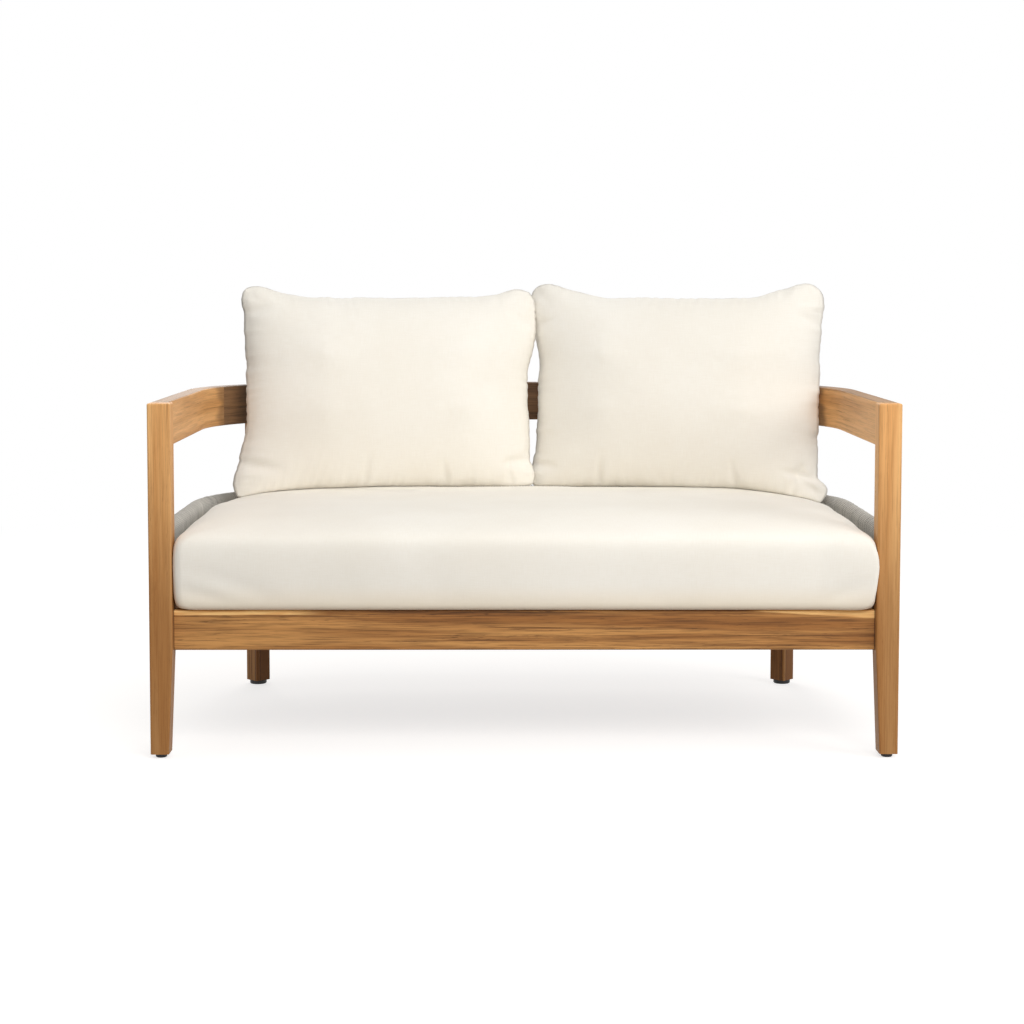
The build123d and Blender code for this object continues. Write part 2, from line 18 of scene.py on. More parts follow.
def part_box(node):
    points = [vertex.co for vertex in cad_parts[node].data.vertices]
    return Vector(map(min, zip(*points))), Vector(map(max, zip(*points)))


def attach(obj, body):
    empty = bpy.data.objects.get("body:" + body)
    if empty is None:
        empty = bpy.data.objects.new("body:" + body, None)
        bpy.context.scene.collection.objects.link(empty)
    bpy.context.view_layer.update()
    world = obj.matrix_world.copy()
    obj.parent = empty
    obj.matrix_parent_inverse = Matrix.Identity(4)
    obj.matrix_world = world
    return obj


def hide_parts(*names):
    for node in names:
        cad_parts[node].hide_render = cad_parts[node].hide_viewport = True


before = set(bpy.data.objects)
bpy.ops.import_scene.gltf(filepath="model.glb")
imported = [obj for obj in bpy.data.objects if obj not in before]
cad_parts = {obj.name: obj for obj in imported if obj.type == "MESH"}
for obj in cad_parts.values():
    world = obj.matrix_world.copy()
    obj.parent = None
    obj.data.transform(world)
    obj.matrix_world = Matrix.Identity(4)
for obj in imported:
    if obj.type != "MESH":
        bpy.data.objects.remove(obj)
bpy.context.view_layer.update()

# %% [markdown]
# Four small helpers serve the whole lesson.

# %% Small helpers
def add_object(name, data):
    """An object in the scene that shows this mesh, camera or lamp."""
    made = bpy.data.objects.new(name, data)
    bpy.context.collection.objects.link(made)
    return made


def shade_smooth(mesh):
    mesh.polygons.foreach_set("use_smooth", [True] * len(mesh.polygons))


def clamped(value):
    return max(0.0, min(1.0, value))


def eased(value, low, high):
    """0 at low and under, 1 at high and over, smooth between."""
    share = clamped((value - low) / (high - low))
    return share * share * (3 - 2 * share)


# %% [markdown]
# The frame's plan is one line: two straight sides, two round corners and a straight back. The
# grain and the rope both follow it, so its sizes are read here once, from the CAD nodes.

# %% Sizes of the frame's plan
post_low, post_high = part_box("front_leg_right")
corner_x, back_y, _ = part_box("back_top_rail")[1]
corner_radius = post_high.x - corner_x
corner_y = back_y - corner_radius
print("corner centre:", round(corner_x, 3), round(corner_y, 3), "radius:", round(corner_radius, 3))

# %% [markdown]
# The photograph was taken from straight ahead, a little above the arms, with a long lens. The
# camera stands 3.9 m in front of the middle, tips down by 4 degrees and shifts the picture.

# %% Camera
camera_place = (-0.04755, -3.90470, 0.82546)
camera_yaw, camera_tip, camera_roll = -0.0071385, math.pi / 2 - 0.0704422, 0.00086286
camera_lens_px, frame_px = 2048.05, 1024
optical_axis_px = 427.68

camera_data = bpy.data.cameras.new("camera")
camera = add_object("camera", camera_data)
turn = Matrix.Rotation(camera_yaw, 4, "Z") @ Matrix.Rotation(camera_tip, 4, "X")
camera.matrix_world = (Matrix.Translation(camera_place) @ turn
                       @ Matrix.Rotation(camera_roll, 4, "Z"))
camera_data.lens = camera_data.sensor_width * camera_lens_px / frame_px
camera_data.shift_y = (optical_axis_px - frame_px / 2) / frame_px
bpy.context.scene.camera = camera
print("lens:", round(camera_data.lens, 1), "mm")

# %% [markdown]
# Shader maths reads best as plain sums. `Value` wraps a socket with one number, and its operators
# add Math nodes. `Finish` owns one material, and its `node` method makes any other node.

# %% Shader values
class Value:
    """One number in a shader. Adding, multiplying and comparing make Math nodes."""

    def __init__(self, finish, socket):
        self.finish, self.socket = finish, socket

    def maths(self, operation, *others, first=None):
        node = self.finish.tree.nodes.new("ShaderNodeMath")
        node.operation = operation
        terms = [self, *others] if first is None else [first, self]
        for socket, term in zip(node.inputs, terms):
            self.finish.feed(socket, term)
        return Value(self.finish, node.outputs[0])

    def __rsub__(self, other):
        return self.maths("SUBTRACT", first=other)

    __add__ = __radd__ = partialmethod(maths, "ADD")
    __sub__ = partialmethod(maths, "SUBTRACT")
    __mul__ = __rmul__ = partialmethod(maths, "MULTIPLY")
    __truediv__ = partialmethod(maths, "DIVIDE")
    __pow__ = partialmethod(maths, "POWER")
    at_most = partialmethod(maths, "MINIMUM")
    at_least = partialmethod(maths, "MAXIMUM")
    size = partialmethod(maths, "ABSOLUTE")

    def sine(self):
        """The sine of this many whole turns."""
        return (self * (2 * math.pi)).maths("SINE")

    def between(self, low, high):
        """0 at low and 1 at high, smooth between; with the ends swapped it falls."""
        node = self.finish.node("MapRange", {"interpolation_type": "SMOOTHSTEP"},
                                {"Value": self, "From Min": low, "From Max": high})
        return Value(self.finish, node.outputs["Result"])


# %% Shader finishes
class Finish:
    """One material, or the world, and the nodes in it."""

    def __init__(self, name, owner=None):
        self.material = owner or bpy.data.materials.new(name)
        self.material.use_nodes = True
        self.tree = self.material.node_tree
        self.tree.nodes.clear()

    def feed(self, socket, value):
        if isinstance(value, Value):
            self.tree.links.new(value.socket, socket)
        elif isinstance(value, bpy.types.NodeSocket):
            self.tree.links.new(value, socket)
        else:
            socket.default_value = value

    def node(self, kind, settings=None, inputs=None):
        made = self.tree.nodes.new("ShaderNode" + kind)
        for name, value in (settings or {}).items():
            setattr(made, name, value)
        for name, value in (inputs or {}).items():
            self.feed(made.inputs[name], value)
        return made

    def point(self):
        """The shaded point in the piece's own metres."""
        return self.node("TexCoord").outputs["Object"]

    def split(self, vector):
        """A vector's X, Y and Z, as three values."""
        parts = self.node("SeparateXYZ", inputs={"Vector": vector})
        return [Value(self, parts.outputs[axis]) for axis in "XYZ"]

    def vector(self, x, y, z):
        return self.node("CombineXYZ", inputs={"X": x, "Y": y, "Z": z}).outputs["Vector"]

    def noise(self, vector, scale, detail=2.0, rough=0.5):
        made = self.node("TexNoise", inputs={"Vector": vector, "Scale": scale,
                                             "Detail": detail, "Roughness": rough})
        return Value(self, made.outputs["Fac"])

    def blend(self, share, colour_a, colour_b):
        node = self.node("Mix", {"data_type": "RGBA"}, {"Factor": share})
        colours = [socket for socket in node.inputs if socket.type == "RGBA"]
        for socket, colour in zip(colours, (colour_a, colour_b)):
            self.feed(socket, colour)
        return next(socket for socket in node.outputs if socket.type == "RGBA")

    def bump(self, height, strength, distance):
        return self.node("Bump", inputs={"Height": height, "Strength": strength,
                                         "Distance": distance}).outputs["Normal"]

    def mix_shaders(self, share, first, second):
        """The first shader where the share is 0 and the second where it is 1."""
        node = self.node("MixShader", inputs={"Fac": share})
        for number, shader in enumerate((first, second), 1):
            self.feed(node.inputs[number], shader.outputs[0])
        return node

    def surface(self, inputs):
        shader = self.node("BsdfPrincipled", inputs=inputs)
        self.node("OutputMaterial", inputs={"Surface": shader.outputs["BSDF"]})
        return self.material


def linear(red, green, blue):
    """A colour read off a screen, 0 to 255, as the linear values that shaders use."""
    values = []
    for byte in (red, green, blue):
        share = byte / 255
        values.append(share / 12.92 if share <= 0.04045 else ((share + 0.055) / 1.055) ** 2.4)
    return (*values, 1.0)


# %% [markdown]
# The wood is brown with darker streaks, short open pores and pale sapwood at some edges; on the
# front rail's top edge the sapwood also carries a painted highlight. Each of its tones has four
# colours: the body, a paler one, a darker one and that of veins and pores. The grey and shade tones
# are painted shade, for the inner faces of the top corners and the back rail in the pillows'
# shadow.
# The figure says how strongly the markings of a tone show.

# %% Wood: tones
board_colours = {
    "light": [(224, 164, 100), (240, 186, 122), (184, 122, 62), (112, 66, 26)],
    "arm": [(208, 152, 92), (230, 176, 116), (164, 112, 60), (96, 58, 26)],
    "mid": [(176, 122, 66), (204, 150, 90), (134, 86, 40), (82, 48, 18)],
    "dark": [(160, 106, 54), (204, 148, 86), (102, 60, 26), (44, 24, 10)],
    # The grey and shade tones are painted shade, for inner faces in the pillows' shadow.
    "grey": [(132, 96, 60), (152, 112, 74), (96, 66, 38), (52, 34, 18)],
    "shade": [(104, 74, 48), (126, 92, 62), (78, 52, 32), (48, 30, 18)],
}
board_figure = {"light": 0.55, "arm": 0.5, "mid": 0.8, "dark": 1.0, "grey": 0.8, "shade": 0.8}


def tone_colours(tone):
    return [linear(*colour) for colour in board_colours[tone]]


# %% [markdown]
# Sawn boards show the streaks as long lines, so each pattern is a noise stretched along the
# board. On a rail that bends it follows the frame's line.

# %% Wood: the grain and its directions
ring_pitch, ring_wander = 0.0125, 5.0
# Length and width of the grains in metres, the shift that they take, their detail and roughness.
grain_noises = {
    "wander": (0.55, 0.080, 0, 2.0, 0.50),
    "broad": (0.60, 0.030, 1, 2.0, 0.50),
    "streak": (0.42, 0.0062, 2, 4.0, 0.66),
    "fibre": (0.09, 0.0021, 0, 3.0, 0.60),
    "fleck": (0.022, 0.0017, 1, 2.0, 0.55),
}
# Where on a noise's scale each marking starts to show and where it is in full.
pale_shows, ring_shows, streak_shows = (0.36, 0.64), (0.70, 0.35), (0.48, 0.66)
line_shows, line_breaks = (0.60, 0.68), (0.42, 0.58)
fibre_shows, fleck_shows, fleck_rows = (0.44, 0.66), (0.58, 0.72), (0.38, 0.58)
# How much of what is under it each marking covers, in a tone of figure 1.
ring_share, streak_share, line_share, fibre_share, fleck_share = 0.5, 0.6, 0.85, 0.46, 0.6


def board_coordinates(wood, direction):
    """(along the grain, across one way, across the other way) for a board's direction."""
    x, y, z = wood.split(wood.point())
    straight = {"X": (x, y, z), "Y": (y, x, z), "Z": (z, x, y)}
    if direction in straight:
        return straight[direction]
    aside = (x.size() - corner_x).at_least(0.0)
    behind = (y - corner_y).at_least(0.0)
    out = (aside * aside + behind * behind) ** 0.5
    turned = behind.maths("ARCTAN2", aside)
    run = (y - corner_y).at_most(0.0) + turned * corner_radius + corner_x
    return run - x.size().at_most(corner_x), out, z


# %% [markdown]
# Some boards carry marks of their own, and each is one more layer of colour: sapwood with a
# painted highlight, a greyer top face, painted shade that darkens one end, glue lines with painted
# shade beside them, painted shade on an inner face, and a painted shadow line at a board's end.

# %% Wood: one board's finish
# Sapwood colours, which also paint a highlight on the front rail's top edge.
sapwood_highlight_pale, sapwood_highlight_deep, sapwood_highlight_shows = linear(255, 208, 138), linear(226, 160, 92), (0.4, 0.7)
# Some boards are greyer on their top face.
top_grey_colour, top_grey_share, top_grey_depth, top_grey_fade = linear(112, 90, 68), 0.62, 0.0005, 0.0012
# Painted shade: where across a rail the darker tone of its inner face starts and is in full.
shaded_inner_face = (0.004, 0.012)
# Painted shade that darkens a board towards one end has an edge that wanders this much.
shade_wander = 0.12
# Glue lines on the back legs; to the right of each the leg is darker, painted shade of its right
# face.
shaded_side_edge, glue_line, glue_share = 0.0004, (0.0009, 0.0004), 0.7
# A painted shadow line at a board's end, where it meets the next board.
joint_shadow_colour, joint_shadow_share, joint_shadow_width = linear(36, 22, 12), 0.85, (0.0022, 0.0004)
grain_depth = 0.0005


def wood_finish(name, direction, seed, tone, sapwood_and_highlight=None, greyed_top=None, painted_shade_run=None,
                staves_and_shade=(), joint_shadow_ends=None, inner_shade_tone=None):
    """Oiled hardwood for one board. The seed moves the pattern, so that no two boards match."""
    wood = Finish(name)
    along, across, up = board_coordinates(wood, direction)
    draw = random.Random(seed)
    shift = [draw.uniform(3, 9) for _ in range(3)]
    tilt = draw.uniform(0.3, 0.7)

    def grain(kind):
        length, width, moved, detail, rough = grain_noises[kind]
        place = wood.vector(along / length + shift[moved], across / width + shift[moved - 1],
                            up / width + shift[moved - 2])
        return wood.noise(place, 1.0, detail, rough)

    wander, broad, streak, fibre, fleck = map(grain, grain_noises)
    rings = (up * (1 - tilt) + across * tilt) / ring_pitch + wander * ring_wander
    ring = (rings.sine() * 0.5 + 0.5) ** 2.0
    flecks = fleck.between(*fleck_shows) * streak.between(*fleck_rows)
    colours = tone_colours(tone)
    # Painted shade: the inner face takes a darker tone, the shade of the pillows.
    if inner_shade_tone:
        shaded_inner = across.between(*(corner_radius - depth for depth in shaded_inner_face))
        colours = [wood.blend(shaded_inner, outside, inside)
                   for outside, inside in zip(colours, tone_colours(inner_shade_tone))]
    colour, pale, dark, vein = colours
    colour = wood.blend(broad.between(*pale_shows), colour, pale)
    for mask, share, marking in (
            (ring * broad.between(*ring_shows), ring_share, dark),
            (streak.between(*streak_shows), streak_share, dark),
            (streak.between(*line_shows) * wander.between(*line_breaks), line_share, vein),
            (fibre.between(*fibre_shows), fibre_share, vein),
            (flecks, fleck_share, vein)):
        colour = wood.blend(mask * (share * board_figure[tone]), colour, marking)
    # Sapwood, on the front rail partly a painted highlight.
    if sapwood_and_highlight:
        pale_edge = wood.blend(fibre.between(*sapwood_highlight_shows), sapwood_highlight_pale, sapwood_highlight_deep)
        colour = wood.blend(sapwood_and_highlight(along, across, up, wander), colour, pale_edge)
    # Greyer on the board's top face.
    if greyed_top:
        top_grey = up.between(greyed_top - top_grey_fade, greyed_top - top_grey_depth)
        colour = wood.blend(top_grey * top_grey_share, colour, top_grey_colour)
    # Painted shade: the board darkens towards one end.
    if painted_shade_run:
        start, end, share, shade_colour = painted_shade_run
        deep = (along + (broad - 0.5) * shade_wander).between(start, end) * share
        colour = wood.blend(deep * shaded_inner if inner_shade_tone else deep, colour, shade_colour)
    # Glue lines, with painted shade that darkens the leg to the right of each.
    for middle, share in staves_and_shade:
        from_middle = across - middle
        colour = wood.blend(from_middle.between(-shaded_side_edge, shaded_side_edge) * share, colour, dark)
        colour = wood.blend(from_middle.size().between(*glue_line) * glue_share, colour, vein)
    # A painted shadow line at each joint end of the board.
    if joint_shadow_ends:
        start, end = joint_shadow_ends
        far, near = joint_shadow_width
        joint_shadows = along.between(start + far, start + near) + along.between(end - far, end - near)
        colour = wood.blend(joint_shadows.at_most(1.0) * joint_shadow_share, colour, joint_shadow_colour)
    height = streak * 0.3 + fibre * 0.5 - ring * 0.2 - flecks * 0.5
    return wood.surface({
        "Base Color": colour,
        "Roughness": 0.44 + streak * 0.16,
        "Normal": wood.bump(height, 0.35, grain_depth),
        "Specular IOR Level": 0.3,
    })


# %% [markdown]
# Each board gets a finish by its name. A few have marks that the photograph shows: sapwood and a
# painted highlight on the front rail, painted shade that darkens the posts towards their feet and
# the arms towards and past the joints at the back corners, and painted shadow lines at joints.

# %% Which tone and which marks a board has
board_directions = {
    "front_leg": "Z", "back_leg": "Z", "slat": "Y", "arm_rail": "line", "top_corner": "line",
    "back_top_rail": "line", "side_seat_rail": "line", "seat_corner": "line",
    "back_seat_rail": "line", "front_seat_rail": "X", "seat_front": "X", "seat_middle": "X",
    "seat_rear": "X", "bolt_plugs": "X", "loose_tenons": "X",
}
board_tones = {"front_leg": "light", "arm_rail": "arm", "front_seat_rail": "dark"}
# Painted shade: darker tones on the inner faces of the top corners and the back rail.
inner_shade_tones = {"top_corner": "grey", "back_top_rail": "shade"}
# These boards are greyer on their top face.
greyed_top_boards = ("arm_rail", "top_corner", "back_top_rail")
rail_half, joint_angle = 0.016, math.radians(23.5)
joint_run = (corner_radius - rail_half) * joint_angle
# The arm rail's far end has no painted shadow line.
no_joint_shadow = 9.0
# Where the front rail's sapwood and painted highlight start and are in full.
strip_end, strip_depth = (0.34, 0.42), (0.0086, 0.0070)
wedge_start, wedge_full, wedge_slope, wedge_edge = 0.38, 0.42, 0.058, (0.002, -0.0005)
sapwood_highlight_wander, sapwood_highlight_share = 0.004, 0.95
rail_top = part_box("front_seat_rail")[1].z


def front_rail_sapwood_and_highlight(along, across, up, wander):
    """Pale sapwood and a painted highlight along the top edge: a thin strip at the left end, a
    wedge at the right end.
    """
    depth = (up - rail_top) * -1 + (wander - 0.5) * sapwood_highlight_wander
    strip = (along * -1).between(*strip_end) * depth.between(*strip_depth)
    wedge = (depth - (along - wedge_start) * wedge_slope).between(*wedge_edge)
    return (strip + wedge * along.between(wedge_start, wedge_full)).at_most(1.0) * sapwood_highlight_share


def board_marks(node_name, kind):
    """What this board has of its own, and the painted shade and highlight it is given, as arguments
    for its finish.
    """
    low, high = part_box(node_name)
    middle = (low.x + high.x) / 2
    marks = {
        "front_seat_rail": {"sapwood_and_highlight": front_rail_sapwood_and_highlight, "joint_shadow_ends": (low.x, high.x)},
        # Painted shade: the posts darken towards their feet, the arms and top corners near the back
        # joints.
        "front_leg": {"painted_shade_run": (0.60, 0.20, 0.64, linear(116, 66, 8))},
        "top_corner": {"painted_shade_run": (joint_run + 0.03, joint_run + 0.10, 0.75, linear(50, 34, 20))},
        # Glue lines, and painted shade on the leg's right face.
        "back_leg": {"staves_and_shade": [(middle - 0.004, 0.5), (middle + 0.006, 0.9)]},
        "arm_rail": {"joint_shadow_ends": (post_high.y - corner_y, no_joint_shadow),
                     "painted_shade_run": (joint_run - 0.035, joint_run - 0.004, 0.6, linear(112, 80, 50))},
    }.get(kind, {})
    return {**marks, "inner_shade_tone": inner_shade_tones.get(kind),
            "greyed_top": high.z if kind in greyed_top_boards else None}


# %% Give every board its finish
def set_finish(node_name, material):
    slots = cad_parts[node_name].data.materials
    slots.clear()
    slots.append(material)


boards = [(node_name, kind) for node_name in sorted(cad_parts) for kind in board_directions
          if node_name.startswith(kind)]
for seed, (node_name, kind) in enumerate(boards, 1):
    tone = board_tones.get(kind, "mid")
    set_finish(node_name, wood_finish("wood_" + node_name, board_directions[kind], seed, tone,
                                      **board_marks(node_name, kind)))
print("boards finished:", len(boards))

# %% [markdown]
# The small parts are black plastic glides, stainless bolts and screws, and the coated aluminium
# frames inside the rope. All three are even, with a fine grain in their gloss.

# %% Plastic, steel and aluminium
def small_part_finish(name, colour, grains, rough, relief=0.0, metallic=0.0):
    """An even finish. Grains are (scale, detail), rough is (least, more on a high grain)."""
    finish = Finish(name)
    grain = finish.noise(finish.point(), *grains)
    inputs = {"Base Color": colour, "Metallic": metallic, "Roughness": rough[0] + grain * rough[1]}
    if relief:
        inputs["Normal"] = finish.bump(grain, relief, 0.0003)
    return finish.surface(inputs)


plastic = small_part_finish("black_plastic", linear(22, 22, 23), (900.0, 2.0), (0.45, 0.15), 0.2)
aluminium = small_part_finish("coated_aluminium", linear(70, 70, 72), (700.0, 2.0), (0.5, 0.2),
                              0.15)
steel = small_part_finish("stainless_steel", linear(188, 188, 190), (600.0, 3.0), (0.28, 0.15),
                          metallic=1.0)
small_parts = {"glide": plastic, "rope_frame": aluminium, "post_bolts": steel,
               "barrel_nuts": steel, "slat_screws": steel}
for node_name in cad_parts:
    for part, material in small_parts.items():
        if part in node_name:
            set_finish(node_name, material)

# %% [markdown]
# Each panel is one long rope, wound round a metal frame, turn beside turn. So the piece is one
# unbroken tube on a helix: while the rope goes once round the panel's tall section, it moves one
# rope's width along the frame's line.

# %% Rope: the line and the section
rope_radius, rope_pitch, rope_sides = 0.003, 0.00603, 8
panel_thickness = 0.030
panel_line = corner_radius - panel_thickness / 2
panel_foot, panel_top = (corner.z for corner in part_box("rope_winding_back"))
panel_crown, foot_round = 0.015, 0.006


def line_station(run):
    """Place and outward heading on the panels' middle line, run metres from the right post."""
    side, bend, back = corner_y - post_high.y, panel_line * math.pi / 2, 2 * corner_x
    if run <= side:
        return corner_x + panel_line, post_high.y + run, 0.0
    if run <= side + bend:
        middle_x, heading = corner_x, (run - side) / panel_line
    elif run <= side + bend + back:
        return corner_x - (run - side - bend), corner_y + panel_line, math.pi / 2
    elif run <= side + 2 * bend + back:
        middle_x, heading = -corner_x, (run - side - back) / panel_line
    else:
        return -corner_x - panel_line, corner_y - (run - side - 2 * bend - back), math.pi
    x = middle_x + panel_line * math.cos(heading)
    return x, corner_y + panel_line * math.sin(heading), heading


def winding_section():
    """The rope's own line round the panel as (out, up, normal out, normal up), and its lengths."""
    half = panel_thickness / 2 - rope_radius
    ankle = panel_foot + rope_radius + foot_round
    top = panel_top - rope_radius
    shoulder = top - (panel_crown - rope_radius / 2)
    points = [(half, ankle + (shoulder - ankle) * share, 1, 0) for share in (0.0, 0.25, 0.5, 0.75)]
    for angle in range(0, 181, 20):
        a = math.radians(angle)
        points.append((half * math.cos(a), shoulder + (top - shoulder) * math.sin(a),
                       math.cos(a), math.sin(a)))
    for share in (0.25, 0.5, 0.75, 1.0):
        points.append((-half, shoulder + (ankle - shoulder) * share, -1, 0))
    for side, angle in ((-1, 30), (-1, 60), (-1, 90), (1, 90), (1, 60), (1, 30)):
        a = math.radians(angle)
        points.append((side * (half - foot_round + foot_round * math.cos(a)),
                       ankle - foot_round * math.sin(a), side * math.cos(a), -math.sin(a)))
    lengths = [0.0]
    for (x0, z0, _, _), (x1, z1, _, _) in zip(points, points[1:] + points[:1]):
        lengths.append(lengths[-1] + math.hypot(x1 - x0, z1 - z0))
    return points, lengths


# %% [markdown]
# Hand-wound turns are never quite even, so two noises move each turn a little.

# %% Rope: the helix
turn_wander = 0.0004
turn_lie, turn_sunk = 0.0009, 0.0004


def rope_rings(start_run, end_run):
    """Rings of points along the helix, the metres of rope up to each ring, and the turns."""
    section, lengths = winding_section()
    whole = end_run - start_run - 2 * rope_radius
    turns = round(whole / rope_pitch)
    angles = [2 * math.pi * side / rope_sides for side in range(rope_sides)]
    rings, marks = [], []
    for number in range(turns * len(section) + 1):
        turn_number, place = divmod(number, len(section))
        out, up, normal_out, normal_up = section[place]
        share = lengths[place] / lengths[-1]
        wander = turn_wander * noise.noise(Vector((turn_number * 7.31, up * 9, out * 60)))
        run = start_run + rope_radius + whole / turns * (turn_number + share) + wander
        x, y, heading = line_station(run)
        outward = Vector((math.cos(heading), math.sin(heading), 0))
        along = Vector((-math.sin(heading), math.cos(heading), 0))
        normal = outward * normal_out + Vector((0, 0, normal_up))
        lie = noise.noise(Vector((turn_number * 3.7 + share, 5.0, 2.0)))
        centre = (Vector((x, y, 0)) + outward * out + Vector((0, 0, up))
                  + normal * (turn_lie * lie - turn_sunk))
        rings.append([centre + rope_radius * (math.cos(a) * normal + math.sin(a) * along)
                      for a in angles])
        marks.append(turn_number * lengths[-1] + lengths[place])
    return rings, marks, turns


def rope_winding(name, start_run, end_run):
    """One panel's rope as a closed tube, with its length and girth kept in its UV map."""
    rings, marks, turns = rope_rings(start_run, end_run)
    faces, uvs = [], []
    for i in range(len(rings) - 1):
        for j in range(rope_sides):
            k = (j + 1) % rope_sides
            a, b = i * rope_sides, (i + 1) * rope_sides
            faces.append((a + j, a + k, b + k, b + j))
            low, high = j / rope_sides, (j + 1) / rope_sides
            uvs += [(marks[i], low), (marks[i], high), (marks[i + 1], high), (marks[i + 1], low)]
    faces.append(tuple(range(rope_sides - 1, -1, -1)))
    faces.append(tuple(range((len(rings) - 1) * rope_sides, len(rings) * rope_sides)))
    uvs += [(0, 0)] * (2 * rope_sides)
    mesh = bpy.data.meshes.new(name)
    mesh.from_pydata([tuple(point) for ring in rings for point in ring], [], faces)
    layer = mesh.uv_layers.new(name="rope")
    layer.uv.foreach_set("vector", np.array(uvs, np.float32).ravel())
    shade_smooth(mesh)
    print(name, "turns:", turns, "rope length:", round(marks[-1], 1), "m")
    return add_object(name, mesh)


# %% [markdown]
# The rope is braided. The UV map holds metres along the rope and turns round it, so two slanted
# waves give the braid, and its crossings are darker.

# %% Rope finish
braid_length = 0.0052
rope_dark, rope_pale, rope_tones = linear(104, 102, 97), linear(214, 210, 202), (0.30, 0.74)


def rope_finish():
    rope = Finish("grey_rope")
    length, girth, _ = rope.split(rope.node("UVMap", {"uv_map": "rope"}).outputs["UV"])
    lead = length / braid_length + girth * 2
    back = length / braid_length - girth * 2
    weave = lead.sine() * back.sine() * 0.5 + 0.5
    yarn = rope.noise(rope.vector(length * 900, girth * 14, length * 3), 1.0, 3.0, 0.6)
    batch = rope.noise(rope.vector(length * 9.0, 0.0, 0.0), 1.0, 2.0)
    mix = weave * 0.35 + yarn * 0.45 + batch * 0.3
    return rope.surface({
        "Base Color": rope.blend(mix.between(*rope_tones), rope_dark, rope_pale),
        "Roughness": 0.88,
        "Normal": rope.bump(weave * 0.7 + yarn * 0.5, 0.55, 0.0008),
        "Specular IOR Level": 0.25,
    })


# %% [markdown]
# The rope stops short of the posts and of the back legs, so there are three windings.

# %% The three windings
back_leg_side = 0.0353
end_gap, post_gap = 0.0003, 0.0045
side_run = corner_y - post_high.y
whole_run = 2 * side_run + panel_line * math.pi + 2 * corner_x
leg_start = side_run + panel_line * math.pi / 4 - back_leg_side / 2 - end_gap
leg_end = side_run + panel_line * math.pi / 4 + back_leg_side / 2 + end_gap
panels = {
    "rope_winding_right": (post_gap, leg_start),
    "rope_winding_back": (leg_end, whole_run - leg_end),
    "rope_winding_left": (whole_run - leg_start, whole_run - post_gap),
}
rope_material = rope_finish()
for node_name, (start, end) in panels.items():
    piece = rope_winding(node_name.replace("winding", "turns"), start, end)
    piece.data.materials.append(rope_material)
    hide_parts(node_name)
    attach(piece, "frame")

# %% [markdown]
# A back cushion is two sheets of cloth sewn together at their edge and stuffed, and it is made the
# same way here. Two grids share one edge loop, the seam, which is held where the photograph shows
# it: dipped along the top, drawn in at the sides and pushed out into ears at the corners. The cloth
# is cut larger than the seam allows, and Blender's cloth blows it up. The puckers along the seam
# are finer than that cloth, so they are pressed in after it.

# %% The outline that a seam is held in
corner_share, corner_aspect = 0.16, 1.35


def round_corners(u, v):
    """A point of the square -1 to 1, moved so that the square's outline has round corners."""
    share_u, share_v = corner_share, corner_share * corner_aspect
    out_u, out_v = (abs(u) - 1) / share_u + 1, (abs(v) - 1) / share_v + 1
    if out_u <= 0 or out_v <= 0:
        return u, v
    shrink = max(out_u, out_v) / math.hypot(out_u, out_v)
    return (math.copysign(1 + (out_u * shrink - 1) * share_u, u),
            math.copysign(1 + (out_v * shrink - 1) * share_v, v))


def seam_place(shape, u, v):
    """Where a point of the square comes, between four sides that bend out at their corners."""
    a, b = round_corners(u, v)
    side = shape["right"] if a > 0 else shape["left"]
    end = shape["top"] if b > 0 else shape["foot"]
    flare, flare_start, flare_end = side[1] if b > 0 else side[2]
    rise, rise_start, rise_end = end[1] if a < 0 else end[2]
    return (a * (side[0] + flare * eased(abs(b), flare_start, flare_end)),
            b * (end[0] + rise * eased(abs(a), rise_start, rise_end)))


# %% [markdown]
# The sheets are swollen from the start, so that the air pressure knows which way is out. Two shape
# keys say where the cloth starts ("sewn") and what flat cloth it was cut from ("cut").

# %% Two sheets with one seam
columns, rows = 58, 42
pillow_cut = (0.652, 0.480)
pillow_crown = (0.080, 0.052)
pillow_overlap = 0.0105
seam_wobble, sheet_wobble = (0.0022, 0.005, 0.0018), 0.0015
crown_rises = (1.9, 1.4)
flat_depth_share, seam_crease = 0.01, 0.55


